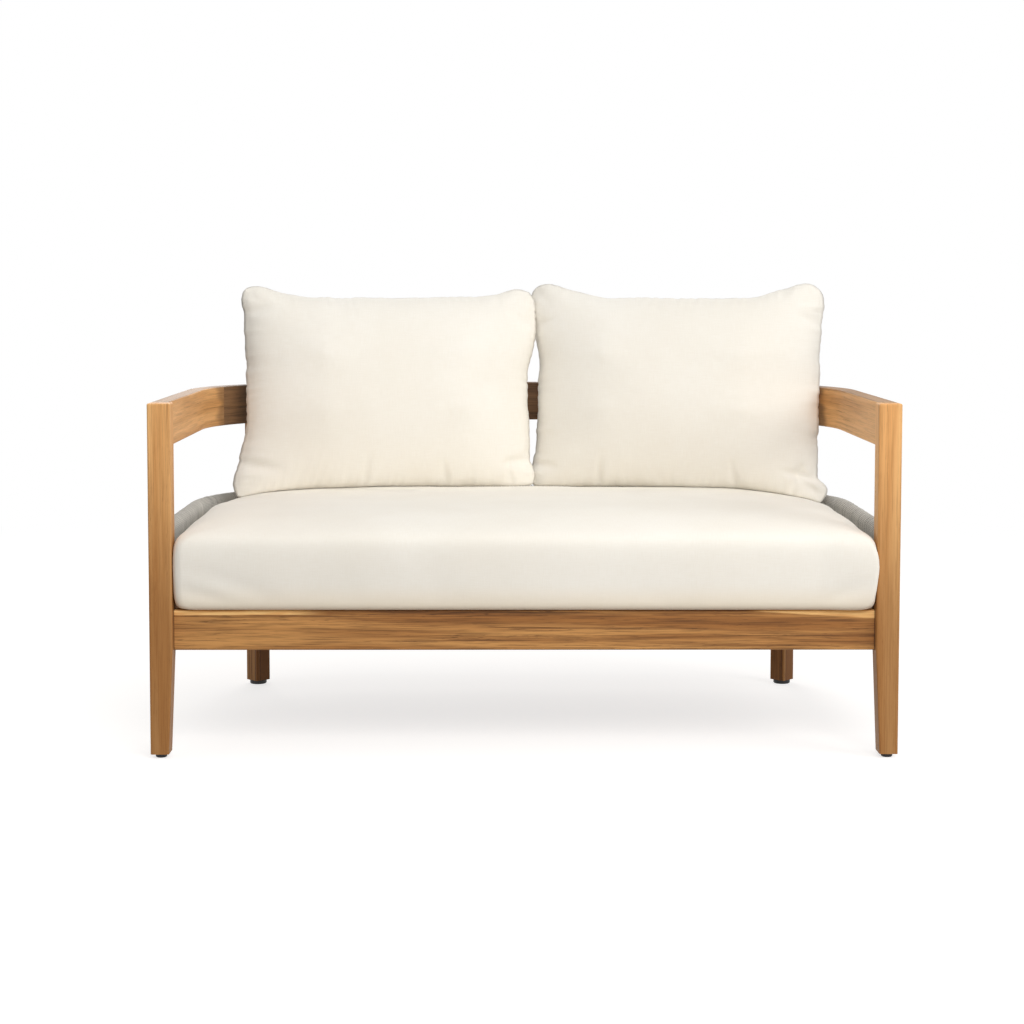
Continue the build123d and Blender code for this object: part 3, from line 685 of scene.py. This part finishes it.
def sewn_sheets(name, shape, side, seed):
    """Two crowned grids with one seam, pressed forward or back where it meets the other pillow.

    Each point keeps its place (u, v, and 1 on the back sheet) in the attribute "cloth_place".
    """
    made = bmesh.new()
    cloth_places, flats, seam = [], [], set()
    sheets = ({}, {})
    for i in range(columns + 1):
        for j in range(rows + 1):
            u, v = 2 * i / columns - 1, 2 * j / rows - 1
            on_seam = i in (0, columns) or j in (0, rows)
            x, z = seam_place(shape, u, v)
            a, b = round_corners(u, v)
            edge = math.prod(min(1, (1 - abs(w)) * rise) ** 0.5
                             for w, rise in zip((u, v), crown_rises))
            wobble = noise.noise_vector(Vector((u * 9, v * 7, seed)))
            for back, sheet in enumerate(sheets):
                if on_seam and back:
                    sheet[i, j] = sheets[0][i, j]
                    continue
                depth = pillow_crown[back] * edge * (1 if back else -1)
                place = Vector((x, depth, z))
                place.y += side * pillow_overlap * max(0.0, u * -side) ** 3
                if on_seam:
                    seam.add(len(flats))
                    place += Vector([w * amount for w, amount in zip(wobble, seam_wobble)])
                else:
                    place.y += sheet_wobble * noise.noise(Vector((u * 30, v * 24, seed + back)))
                sheet[i, j] = made.verts.new(place)
                cloth_places.append((u, v, back))
                flats.append((a * pillow_cut[0] / 2, depth * flat_depth_share,
                              b * pillow_cut[1] / 2))
    for i in range(columns):
        for j in range(rows):
            corners = [(i, j), (i + 1, j), (i + 1, j + 1), (i, j + 1)]
            made.faces.new([sheets[0][c] for c in corners])
            made.faces.new([sheets[1][c] for c in reversed(corners)])
    mesh = bpy.data.meshes.new(name)
    made.to_mesh(mesh)
    made.free()
    piece = add_object(name, mesh)
    piece.shape_key_add(name="sewn")
    key = piece.shape_key_add(name="cut")
    for number, place in enumerate(flats):
        key.data[number].co = place
    piece.vertex_groups.new(name="seam").add(sorted(seam), 1.0, "REPLACE")
    kept = mesh.attributes.new("cloth_place", "FLOAT_VECTOR", "POINT")
    kept.data.foreach_set("vector", np.array(cloth_places, np.float32).ravel())
    creases = mesh.attributes.new("crease_edge", "FLOAT", "EDGE")
    creases.data.foreach_set("value", [seam_crease * seam.issuperset(edge.vertices)
                                       for edge in mesh.edges])
    return piece


# %% Stuff the sheets
pillow_frames = 24
cloth_settings = {
    "quality": 6, "mass": 0.15, "air_damping": 2.0, "tension_stiffness": 15,
    "compression_stiffness": 15, "shear_stiffness": 7.5, "bending_stiffness": 0.1,
    "tension_damping": 5, "compression_damping": 5, "vertex_group_mass": "seam",
    "use_pressure": True, "uniform_pressure_force": 4.0,
}


def keep_shape(piece):
    """Turns what the modifiers and keys show into the piece's own mesh."""
    graph = bpy.context.evaluated_depsgraph_get()
    shape = bpy.data.meshes.new_from_object(piece.evaluated_get(graph))
    piece.modifiers.clear()
    if piece.data.shape_keys:
        piece.shape_key_clear()
    piece.data = shape
    shade_smooth(shape)


def refine(piece, levels):
    """Subdivides the piece and keeps the result."""
    rounder = piece.modifiers.new("Rounder", "SUBSURF")
    rounder.levels = levels
    keep_shape(piece)


def blow_up(piece):
    """Runs Blender's cloth with air pressure and no gravity, then keeps the shape it reached."""
    cloth = piece.modifiers.new("Cloth", "CLOTH")
    for name, value in cloth_settings.items():
        setattr(cloth.settings, name, value)
    cloth.settings.rest_shape_key = piece.data.shape_keys.key_blocks["cut"]
    cloth.settings.effector_weights.gravity = 0
    cloth.collision_settings.use_collision = False
    cloth.point_cache.frame_start = 1
    cloth.point_cache.frame_end = pillow_frames
    for number in range(1, pillow_frames + 1):
        bpy.context.scene.frame_set(number)
    keep_shape(piece)
    bpy.context.scene.frame_set(1)


# %% [markdown]
# Stuffed cloth creases where the seam gathers it, and more deeply beside an ear. The creases come
# from noise, and the tucks are placed one by one where the photograph shows them.

# %% Creases and tucks
crease_reach, crease_slant, crease_pitch = 0.09, 1.2, 52
crease_depth, notch_depth = 0.0050, 0.0034
ear_start, ear_tip = 0.80, 0.95
on_edge = 0.9999
fold_end = 0.95
tuck_begin, tuck_edge, edge_fade, back_fade = 0.45, 0.10, 0.75, 0.4


def soft_fold(point, start, end, width, depth, begin=0.1):
    """How far a crease between two points sinks the cloth at this point."""
    run = end - start
    share = clamped((point - start).dot(run) / run.length_squared)
    away = (point - start - run * share).length
    rise = math.sin(math.pi * (begin + (fold_end - begin) * share))
    return depth * rise * math.exp(-(away / width) ** 2)


def cloth_points(piece):
    """Each vertex with its normal and its place (u, v, back) on the cloth."""
    places = np.empty(3 * len(piece.data.vertices), np.float32)
    piece.data.attributes["cloth_place"].data.foreach_get("vector", places)
    normals = [v.normal.copy() for v in piece.data.vertices]
    return zip(piece.data.vertices, normals, places.reshape(-1, 3).tolist())


def pucker(piece, seed):
    """Small creases that run in from the seam, deep in some places and absent in others."""
    half_x, half_z = pillow_cut[0] / 2, pillow_cut[1] / 2
    for vertex, normal, (u, v, back) in cloth_points(piece):
        creased = 0.0
        for away, along, edge in (((1 - abs(u)) * half_x, v * half_z, 1 + (u > 0)),
                                  ((1 - abs(v)) * half_z, u * half_x, 3 + (v > 0))):
            if away > crease_reach:
                continue
            row = Vector((edge * 17.0 + seed, back * 9.0, 0.0))
            slant = away * noise.noise(row + Vector((along * 9, 0, 0))) * crease_slant
            wave = noise.noise(row + Vector(((along + slant) * crease_pitch, 0, 3)))
            strength = noise.noise(row + Vector((along * 15, 4, 0))) * 0.9 + 0.55
            reach = 0.016 + 0.022 * max(0.0, strength)
            creased += max(0.0, strength) * (1 - abs(wave)) ** 5 * math.exp(-away / reach)
        creased *= 1 - eased(min(abs(u), abs(v)), ear_start, ear_tip)
        if max(abs(u), abs(v)) > on_edge:
            middle = Vector((vertex.co.x, 0, vertex.co.z)).normalized()
            vertex.co -= middle * creased * notch_depth
        else:
            vertex.co -= normal * creased * crease_depth


def tuck(piece, tucks):
    """Named soft folds that set off the ears at the corners, shallower at the seam and behind."""
    for vertex, normal, (u, v, back) in cloth_points(piece):
        place = Vector((vertex.co.x, vertex.co.z, 0))
        from_edge = eased(1 - max(abs(u), abs(v)), 0.0, tuck_edge)
        share = (1 - edge_fade * (1 - from_edge)) * (1 - back_fade * back)
        for x0, z0, x1, z1, width, depth in tucks:
            ends = Vector((x0, z0, 0)), Vector((x1, z1, 0))
            sink = soft_fold(place, *ends, width, depth, tuck_begin)
            vertex.co -= normal * sink * share


# %% [markdown]
# Each pillow has its own outline. A side has a half size at its middle, and for each of its two
# corners how far that one stands out, where along the side that starts and where it is in full. A
# tuck is two points, a width and a depth.

# %% Outlines and tucks of the back cushions
pillow_shapes = {
    "left": {"left": (0.287, (0.009, 0.55, 1.0), (0.042, 0.20, 1.12)),
             "right": (0.288, (0.025, 0.0, 0.55), (0.017, 0.70, 0.98)),
             "top": (0.181, (0.033, 0.50, 1.05), (0.024, 0.60, 1.05)),
             "foot": (0.213, (0.022, 0.40, 1.05), (0.008, 0.50, 1.0))},
    "right": {"left": (0.286, (0.027, 0.15, 0.85), (0.017, 0.58, 0.92)),
              "right": (0.290, (0.009, 0.30, 1.0), (0.024, 0.72, 0.84)),
              "top": (0.181, (0.035, 0.42, 1.0), (0.031, 0.45, 0.90)),
              "foot": (0.213, (0.006, 0.50, 1.0), (0.034, 0.40, 1.05))},
}
pillow_tucks = {
    "left": [(-0.296, 0.146, -0.235, 0.156, 0.010, 0.007),
             (-0.300, -0.158, -0.225, -0.172, 0.009, 0.008),
             (-0.220, 0.200, -0.212, 0.165, 0.010, 0.003),
             (0.300, -0.158, 0.225, -0.168, 0.008, 0.010),
             (0.240, -0.205, 0.232, -0.150, 0.007, 0.006),
             (0.305, 0.120, 0.255, 0.135, 0.008, 0.006),
             (0.235, 0.195, 0.225, 0.150, 0.008, 0.003),
             (-0.060, -0.212, -0.052, -0.150, 0.006, 0.006),
             (0.110, -0.212, 0.100, -0.165, 0.006, 0.007)],
    "right": [(0.300, 0.122, 0.245, 0.140, 0.009, 0.006),
              (0.302, -0.184, 0.222, -0.176, 0.006, 0.013),
              (0.262, -0.165, 0.236, -0.222, 0.007, 0.007),
              (0.295, -0.215, 0.262, -0.196, 0.006, 0.006),
              (0.222, 0.205, 0.205, 0.170, 0.010, 0.003),
              (-0.305, 0.116, -0.250, 0.132, 0.009, 0.006),
              (-0.298, -0.165, -0.235, -0.172, 0.008, 0.009),
              (-0.228, 0.205, -0.216, 0.170, 0.010, 0.003),
              (-0.150, -0.212, -0.140, -0.155, 0.006, 0.007),
              (0.130, -0.214, 0.122, -0.160, 0.006, 0.007)],
}
print("tucks:", [len(tucks) for tucks in pillow_tucks.values()])

# %% Make and place a back cushion
pillow_lean, pillow_turn = math.radians(12), math.radians(12.5)
pillow_half_height, pillow_half_width = 0.210, 0.286
pillow_meeting, pillow_foot_y = 0.022, 0.191
pillow_reach = 0.002 + pillow_half_width * math.cos(pillow_turn)


def back_cushion(name, node, side, side_name, seed):
    piece = sewn_sheets(name, pillow_shapes[side_name], side, seed)
    blow_up(piece)
    refine(piece, 1)
    pucker(piece, seed)
    tuck(piece, pillow_tucks[side_name])
    points = np.array([v.co for v in piece.data.vertices])
    print(name, "stuffed from", points.min(0).round(3), "to", points.max(0).round(3))
    heading = -side * pillow_turn
    rise = pillow_half_height * math.cos(pillow_lean)
    back = pillow_half_height * math.sin(pillow_lean)
    foot = Vector((pillow_meeting + side * pillow_reach, pillow_foot_y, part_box(node)[0].z))
    place = foot + Vector((-back * math.sin(heading), back * math.cos(heading), rise))
    leaned = Matrix.Rotation(heading, 4, "Z") @ Matrix.Rotation(-pillow_lean, 4, "X")
    piece.data.transform(Matrix.Translation(place) @ leaned)
    return piece


# %% [markdown]
# Cushion cloth is a plain weave of slubby cream yarn. Two fine waves make the weave, and a broad
# noise makes slow changes of tone. Near its foot the seat cushion is warmer: painted light bounced
# off the wood.

# %% Cream cloth
seat_low, seat_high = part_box("seat_cushion")
seat_foot, seat_top = seat_low.z, seat_high.z
yarn_pitch = 0.0011
cream, cream_shade, cream_tones = linear(246, 242, 233), linear(238, 232, 220), (0.3, 0.75)
# Painted light: warm light bounced off the wood, painted on the seat cushion's foot.
painted_wood_bounce, wood_bounce_height, wood_bounce_share = linear(240, 222, 192), 0.055, 0.55


def cloth_finish(name, lies_flat):
    """Plain weave; on a pad that lies flat the yarns run on from its top down its front, and
    painted light bounced off the wood warms its foot.
    """
    cloth = Finish(name)
    across, deep, up = cloth.split(cloth.point())
    run = up + deep if lies_flat else up
    slub = cloth.noise(cloth.vector(across * 40, run * 700, 0.0), 1.0, 2.0)
    slub_up = cloth.noise(cloth.vector(across * 700, run * 40, 4.0), 1.0, 2.0)
    weave = (across / yarn_pitch).sine() * (run / yarn_pitch).sine() * 0.5 + 0.5
    slow = cloth.noise(cloth.point(), 6.0, 3.0)
    tone = weave * 0.12 + slub * 0.25 + slub_up * 0.25 + slow * 0.38
    colour = cloth.blend(tone.between(*cream_tones), cream_shade, cream)
    # Painted bounce light from the wood, warmer near the foot.
    if lies_flat:
        wood_bounce = (up - seat_foot).between(wood_bounce_height, 0.0)
        colour = cloth.blend(wood_bounce * wood_bounce_share, colour, painted_wood_bounce)
    return cloth.surface({
        "Base Color": colour,
        "Roughness": 0.9,
        "Normal": cloth.bump(weave * 0.6 + slub * 0.4 + slub_up * 0.4, 0.25, 0.0004),
        "Specular IOR Level": 0.2,
        "Sheen Weight": 0.15,
        "Sheen Roughness": 0.6,
    })


# %% Sew, stuff and dress the two back cushions
pillow_cloth = cloth_finish("cream_cloth_upright", False)
pillows = []
for side, side_name, seed in ((-1, "left", 11), (1, "right", 23)):
    node = "back_cushion_" + side_name
    piece = back_cushion("back_pillow_" + side_name, node, side, side_name, seed)
    piece.data.materials.append(pillow_cloth)
    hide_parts(node)
    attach(piece, node)
    pillows.append(piece)

# %% [markdown]
# The seat cushion is a foam block in a fitted cover, with a crowned top, tight front corners and
# wide back ones. It is drawn as rings of points, and a subdivision surface rounds it.

# %% Seat cushion: rings of points
seat_half, seat_front, seat_back = seat_high.x, seat_low.y, seat_high.y
front_corner, front_corner_right, back_corner = 0.018, 0.014, seat_half - corner_x
least_back_corner, corner_growth = 0.02, 0.75
seat_side_draw, seat_steps = 0.004, 10
# How high each ring is above the foot, and how far in from the wall.
seat_section = [(0.0, 0.036), (0.0, 0.014), (0.003, 0.006), (0.010, 0.001), (0.026, -0.001),
                (0.060, -0.002), (0.095, -0.002), (0.113, 0.000), (0.1235, 0.004), (0.131, 0.011),
                (0.1375, 0.023), (0.1435, 0.043), (0.149, 0.072), (0.154, 0.108), (0.1577, 0.148),
                (0.160, 0.190)]


def seat_ring(inset, z, steps):
    """Points round the cushion at one height, evenly spread over its sides and corners."""
    x, front, back = seat_half - inset, seat_front + inset, seat_back - inset
    rear = max(back_corner - inset, least_back_corner)
    near, near_right = (corner + corner_growth * max(0.0, inset)
                        for corner in (front_corner, front_corner_right))
    points, before = [], (-x + near, front)
    for out_x, out_y, radius, start, arc_share, line_share, draw in (
            (x, front, near_right, -90, 1, 5, 0.0), (x, back, rear, 0, 2, 2, seat_side_draw),
            (-x, back, rear, 90, 2, 3, 0.0), (-x, front, near, 180, 1, 2, seat_side_draw)):
        cx = out_x - math.copysign(radius, out_x)
        cy = front + radius if out_y == front else back - radius
        turns = [math.radians(start + 90 * k / (arc_share * steps))
                 for k in range(arc_share * steps + 1)]
        arc = [(cx + radius * math.cos(a), cy + radius * math.sin(a)) for a in turns]
        for k in range(line_share * steps):
            share = k / (line_share * steps)
            sag = math.copysign(draw * math.sin(math.pi * share), out_x)
            points.append((before[0] + (arc[0][0] - before[0]) * share - sag,
                           before[1] + (arc[0][1] - before[1]) * share, z))
        points += [(*place, z) for place in arc[:-1]]
        before = arc[-1]
    return points


def seat_block():
    """The rings joined into a closed block and rounded."""
    made = bmesh.new()
    rings = [[made.verts.new(place) for place in seat_ring(inset, seat_foot + up, seat_steps)]
             for up, inset in seat_section]
    count = len(rings[0])
    for lower, upper in zip(rings, rings[1:]):
        for k in range(count):
            made.faces.new((lower[k], lower[(k + 1) % count], upper[(k + 1) % count], upper[k]))
    made.faces.new(list(reversed(rings[0])))
    made.faces.new(rings[-1])
    mesh = bpy.data.meshes.new("seat_pad")
    made.to_mesh(mesh)
    made.free()
    piece = add_object("seat_pad", mesh)
    refine(piece, 2)
    return piece


# %% [markdown]
# A used cushion isn't a clean block: its top stands higher beside the arms, its front corners
# swell over the posts, and its cover is uneven and creased. A pair of values says where a change
# starts and where it is in full.

# %% Seat cushion: swell, creases and clearance
post_gap_x, post_gap_front, post_gap_back = 0.001, 0.001, 0.004
crown_lift, crown_x, crown_height = 0.007, (0.44, 0.58), (0.10, 0.14)
crown_front, crown_back = (-0.37, -0.22), (-0.02, 0.08)
flush_move, flush_front, flush_right = 0.005, (0.28, 0.36), (0.50, 0.57)
uneven_waves = ((7.0, 0.0022), (19.0, 0.0007))
still_foot = 0.03
before_post_gap, before_post_run = 0.0005, 0.006
right_corner, right_corner_run, right_swell = 0.560, 0.04, Vector((0.0075, -0.003, 0.0))
left_corner, left_swell, left_foot_lift = (0.575, 0.605), 0.0022, 0.0040
swell_height = 0.13
seat_folds = [
    ((-0.60, -0.39, 0.300), (-0.50, -0.40, 0.270), 0.012, 0.0028),
    ((-0.59, -0.39, 0.335), (-0.43, -0.40, 0.285), 0.014, 0.0022),
    ((0.60, -0.39, 0.315), (0.52, -0.40, 0.275), 0.012, 0.0022),
    ((-0.30, -0.40, 0.268), (0.10, -0.40, 0.272), 0.010, 0.0010),
]


def soften(place, normal):
    """Moves one point of the block; the place is the vertex's own, so each step sees the last."""
    beside_arm = eased(abs(place.x), *crown_x) * eased(place.y, *crown_front)
    place.z += (crown_lift * beside_arm * (1 - eased(place.y, *crown_back))
                * eased(place.z - seat_foot, *crown_height))
    place.y += flush_move * eased(-place.y, *flush_front) * (1 - eased(place.x, *flush_right))
    soft = sum(noise.noise(place * scale) * depth for scale, depth in uneven_waves)
    for start, end, width, depth in seat_folds:
        soft -= soft_fold(place, Vector(start), Vector(end), width, depth)
    from_foot = (place.z - seat_foot) / still_foot
    place += normal * soft * clamped(from_foot)
    before_post = clamped((post_low.y - before_post_gap - place.y) / before_post_run)
    on_right = clamped((place.x - right_corner) / right_corner_run) * before_post
    on_left = eased(-place.x, *left_corner) * before_post
    swell = math.sin(math.pi * clamped((place.z - seat_foot) / swell_height)) ** 0.5
    if post_low.y - post_gap_front < place.y < post_high.y + post_gap_back:
        place.x = max(-post_low.x + post_gap_x, min(post_low.x - post_gap_x, place.x))
    place += right_swell * on_right * swell
    place += Vector((left_swell, 0.0, left_foot_lift * max(0.0, 1 - from_foot))) * on_left


seat_piece = seat_block()
normals = [vertex.normal.copy() for vertex in seat_piece.data.vertices]
for vertex, normal in zip(seat_piece.data.vertices, normals):
    soften(vertex.co, normal)
seat_piece.data.materials.append(cloth_finish("cream_cloth_flat", True))
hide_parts("seat_cushion")
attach(seat_piece, "seat_cushion")
print("seat cushion points:", len(seat_piece.data.vertices))

# %% [markdown]
# The seat's cover closes with a zip in its back wall. The CAD tape keeps its shape, and its
# teeth, each under 3 mm, are made by the finish and its bump.

# %% Zip
tooth_pitch, teeth_edge = 0.0028, (0.0034, 0.0026)


def zip_finish():
    """Woven tape with a row of moulded teeth down its middle."""
    tape = Finish("zip_tape_and_teeth")
    across, _, up = tape.split(tape.point())
    low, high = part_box("seat_cushion_zip")
    teeth = (up - (low.z + high.z) / 2).size().between(*teeth_edge)
    tooth = (across / tooth_pitch).sine() * 0.5 + 0.5
    weave = tape.noise(tape.vector(across * 300, 0.0, up * 1400), 1.0, 2.0)
    woven = tape.blend(weave.between(0.3, 0.7), linear(206, 198, 182), linear(226, 219, 205))
    moulded = tape.blend(tooth, linear(150, 144, 132), linear(214, 208, 194))
    return tape.surface({
        "Base Color": tape.blend(teeth, woven, moulded),
        "Roughness": 0.85 - teeth * 0.45,
        "Normal": tape.bump(teeth * tooth + weave * 0.2, 0.5, 0.0006),
    })


set_finish("seat_cushion_zip", zip_finish())

# %% [markdown]
# Points of the pillows that would be inside the seat cushion are lifted onto its cover, so the
# pillows stand on it.

# %% Stand the back cushions on the seat
lift_gap, probe_height, cover_height = 0.0008, 0.1, 0.09


def stand_on(piece, seat):
    """Lifts the piece's points out of the seat's top; tells how many and how far."""
    cover = BVHTree.FromPolygons([v.co for v in seat.data.vertices],
                                 [list(p.vertices) for p in seat.data.polygons])
    lifted = []
    for vertex in piece.data.vertices:
        above = Vector((vertex.co.x, vertex.co.y, seat_top + probe_height))
        touched = cover.ray_cast(above, Vector((0, 0, -1)))[0]
        if not touched or touched.z <= seat_foot + cover_height:
            continue
        if vertex.co.z < touched.z + lift_gap:
            lifted.append(touched.z + lift_gap - vertex.co.z)
            vertex.co.z = touched.z + lift_gap
    print(piece.name, "points lifted:", len(lifted), "by at most", round(max(lifted, default=0), 4))


for piece in pillows:
    stand_on(piece, seat_piece)

# %% [markdown]
# The studio is a white floor and a white world, which only camera, glossy and glass rays see at
# full white. Near the sofa the floor is part grey and part glow, so that it takes a soft shadow
# and still looks white.

# %% Floor
floor_size, floor_grey, floor_glow, floor_fade = 30.0, (0.48, 0.46, 0.44, 1.0), 0.725, (1.7, 3.4)


def seen_rays(finish):
    """1 for the rays that show the stage itself: from the camera, mirrored or let through."""
    rays = finish.node("LightPath").outputs
    return (Value(finish, rays["Is Camera Ray"]) + Value(finish, rays["Is Glossy Ray"])
            + Value(finish, rays["Is Transmission Ray"])).at_most(1.0)


studio = Finish("studio_floor")
seen = seen_rays(studio)
shaded = studio.node("AddShader")
diffuse = studio.node("BsdfDiffuse", inputs={"Color": floor_grey})
glow = studio.node("Emission", inputs={"Strength": seen * floor_glow})
for socket, shader in zip(shaded.inputs, (diffuse, glow)):
    studio.feed(socket, shader.outputs[0])
east, north, _ = studio.split(studio.point())
far = ((east * east + north * north) ** 0.5).between(*floor_fade)
white = studio.node("Emission", inputs={"Strength": seen})
floor_shader = studio.mix_shaders(far, shaded, white)
studio.node("OutputMaterial", inputs={"Surface": floor_shader.outputs[0]})
bpy.ops.mesh.primitive_plane_add(size=floor_size)
floor = bpy.context.active_object
floor.name = "studio_floor"
floor.data.materials.append(studio.material)

# %% World
white_light, sky_strength = (1.0, 1.0, 1.0, 1.0), 0.38
world = bpy.data.worlds.new("studio")
bpy.context.scene.world = world
sky = Finish("studio", world)
sky_light = sky.node("Background", inputs={"Color": white_light, "Strength": sky_strength})
sky_seen = sky.node("Background", inputs={"Color": white_light, "Strength": 1.0})
sky_shader = sky.mix_shaders(seen_rays(sky), sky_light, sky_seen)
sky.node("OutputWorld", inputs={"Surface": sky_shader.outputs[0]})

# %% [markdown]
# The photograph is lit softly from the front. The wide box in front does most of the work, one on
# the right fills the shade, one overhead lifts the tops, and one behind lights the back.

# %% Soft boxes
soft_boxes = {
    "front_top": ((0.5, -2.7, 2.05), (2.2, 1.2), 52),
    "fill_right": ((2.6, -1.7, 1.7), (1.4, 1.4), 25),
    "top": ((0.0, -0.1, 2.6), (2.4, 1.4), 10),
    "rear": ((-0.6, 3.0, 2.0), (2.4, 1.4), 34),
}
aim = Vector((0, 0, 0.4))
for name, (place, size, watts) in soft_boxes.items():
    data = bpy.data.lights.new(name, "AREA")
    data.shape = "RECTANGLE"
    data.size, data.size_y = size
    data.energy = watts
    lamp = add_object(name, data)
    lamp.location = place
    lamp.rotation_euler = (aim - Vector(place)).to_track_quat("-Z", "Y").to_euler()
bpy.context.scene.view_settings.view_transform = "Standard"
print("soft boxes:", len(soft_boxes))
